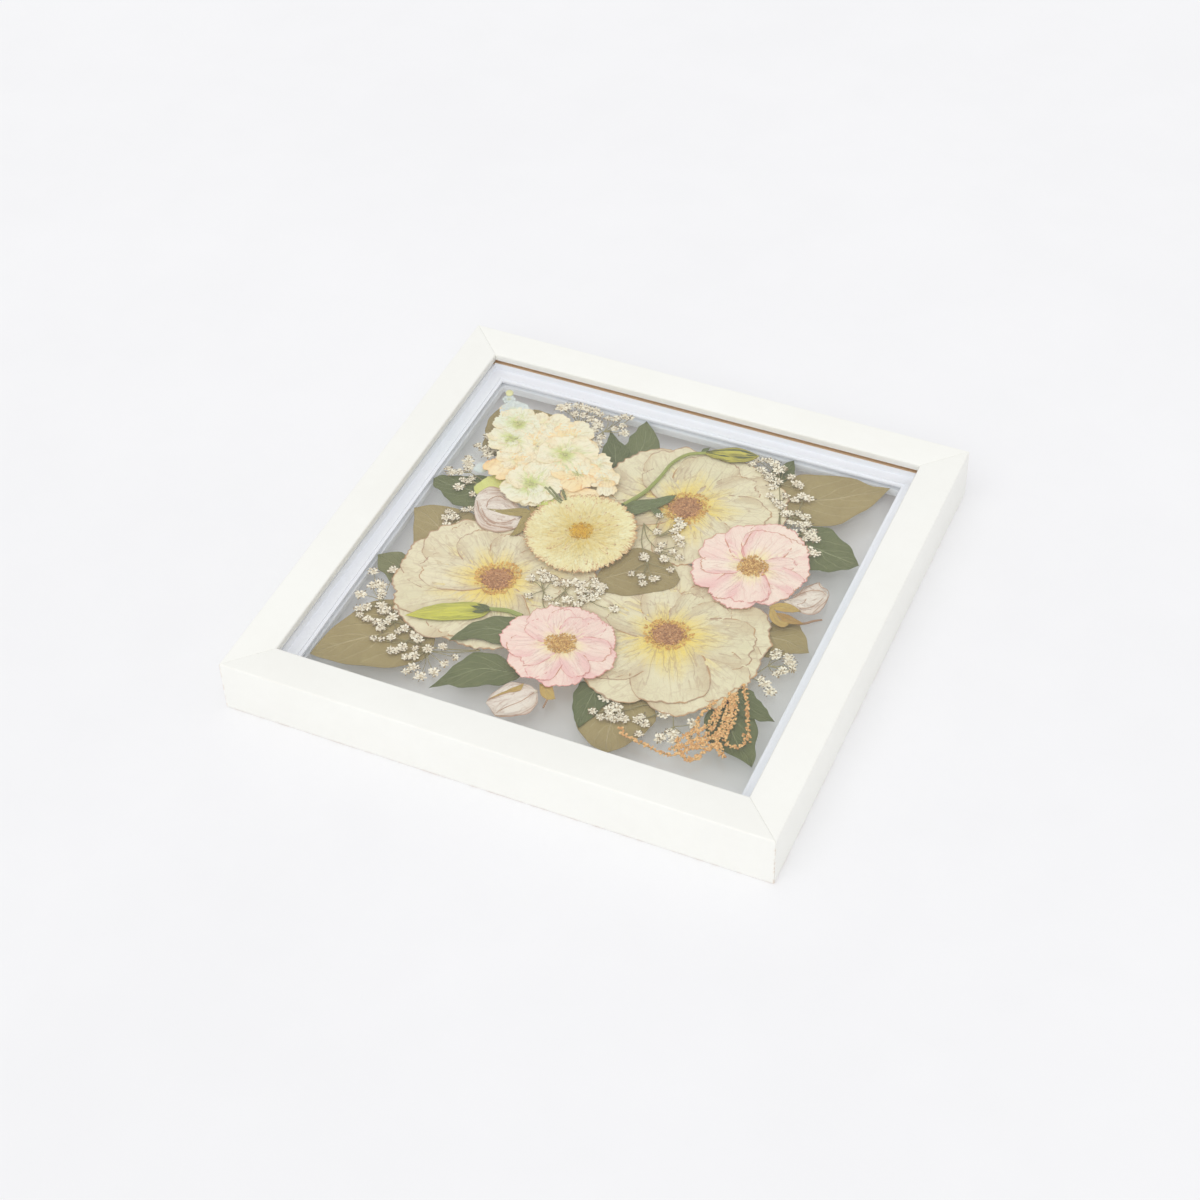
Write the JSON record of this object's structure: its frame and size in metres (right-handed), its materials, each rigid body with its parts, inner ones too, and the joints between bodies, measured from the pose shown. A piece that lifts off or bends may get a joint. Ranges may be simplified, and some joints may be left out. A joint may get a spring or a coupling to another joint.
{
  "type": "pressed flower frame",
  "caption": "Square white box frame, open at the back, with dried pressed flowers on a glass pane behind a white liner and a front glass.",
  "frame": {"origin": "middle of the frame's underside (its wall side) as it lies face up", "axes": "+X along the front rail to the right, +Y towards the back rail (the top when hung), +Z out of the face"},
  "size_m": [0.285, 0.285, 0.03],
  "materials": {
    "white_paint": "satin white paint over wood, worn thin at the arrises",
    "pane_glass": "clear float glass",
    "liner_white": "matt white paint with a cool cast",
    "point_steel": "dull zinc",
    "leaf_khaki": "dry pressed leaf, matt",
    "leaf_green": "dry pressed leaf, matt",
    "leaf_olive": "dry pressed leaf, matt",
    "petal_cream": "dry rose petal with brown veins",
    "petal_pink": "dry rose petal, blush pink",
    "petal_yellow": "dry ray petals with a scorched edge",
    "petal_ivory": "translucent dry larkspur petals",
    "petal_mauve": "dry rosebud with mauve veins",
    "bud_green": "yellow-green closed bud with dark streaks",
    "floret_cream": "tiny dry florets on thin olive stems",
    "tassel_amber": "beaded dry amaranthus strands"
  },
  "bodies": {
    "root": {"rail_front": "white_paint", "rail_right": "white_paint", "rail_back": "white_paint", "rail_left": "white_paint", "framers_point_front_1": "point_steel", "framers_point_front_2": "point_steel", "framers_point_right_1": "point_steel", "framers_point_right_2": "point_steel", "framers_point_back_1": "point_steel", "framers_point_back_2": "point_steel", "framers_point_left_1": "point_steel", "framers_point_left_2": "point_steel", "front_glass": "pane_glass", "flower_pane": "pane_glass", "liner": "liner_white", "lower_liner": "liner_white", "leaf_khaki_top_left": "leaf_khaki", "leaf_khaki_top": "leaf_khaki", "leaf_green_upper_left": "leaf_green", "leaf_khaki_left": "leaf_khaki", "leaf_olive_left": "leaf_olive", "leaf_khaki_lower_left": "leaf_khaki", "leaf_green_lower_a": "leaf_green", "leaf_green_lower_b": "leaf_green", "leaf_khaki_bottom": "leaf_khaki", "leaf_green_bottom": "leaf_green", "leaf_green_corner_a": "leaf_green", "leaf_green_corner_b": "leaf_green", "leaf_khaki_right": "leaf_khaki", "leaf_green_right": "leaf_green", "leaf_khaki_right_large": "leaf_khaki", "leaf_green_top_right": "leaf_green", "leaf_green_top_a": "leaf_green", "leaf_green_top_b": "leaf_green", "leaf_khaki_centre": "leaf_khaki", "rose_cream_left": "petal_cream", "rose_cream_top": "petal_cream", "rose_cream_front": "petal_cream", "rose_pink_right": "petal_pink", "rose_pink_front": "petal_pink", "chrysanthemum": "petal_yellow", "larkspur_spray": "petal_ivory", "rosebud_mauve": "petal_mauve", "rosebud_right": "petal_mauve", "rosebud_front": "petal_mauve", "lisianthus_bud_left": "bud_green", "lisianthus_bud_top": "bud_green", "babys_breath_top": "floret_cream", "babys_breath_right": "floret_cream", "babys_breath_right_low": "floret_cream", "babys_breath_bottom": "floret_cream", "babys_breath_lower_left": "floret_cream", "babys_breath_upper_left": "floret_cream", "babys_breath_left": "floret_cream", "babys_breath_larkspur": "floret_cream", "babys_breath_centre": "floret_cream", "babys_breath_centre_right": "floret_cream", "amaranthus": "tassel_amber"}
  },
  "joints": []
}
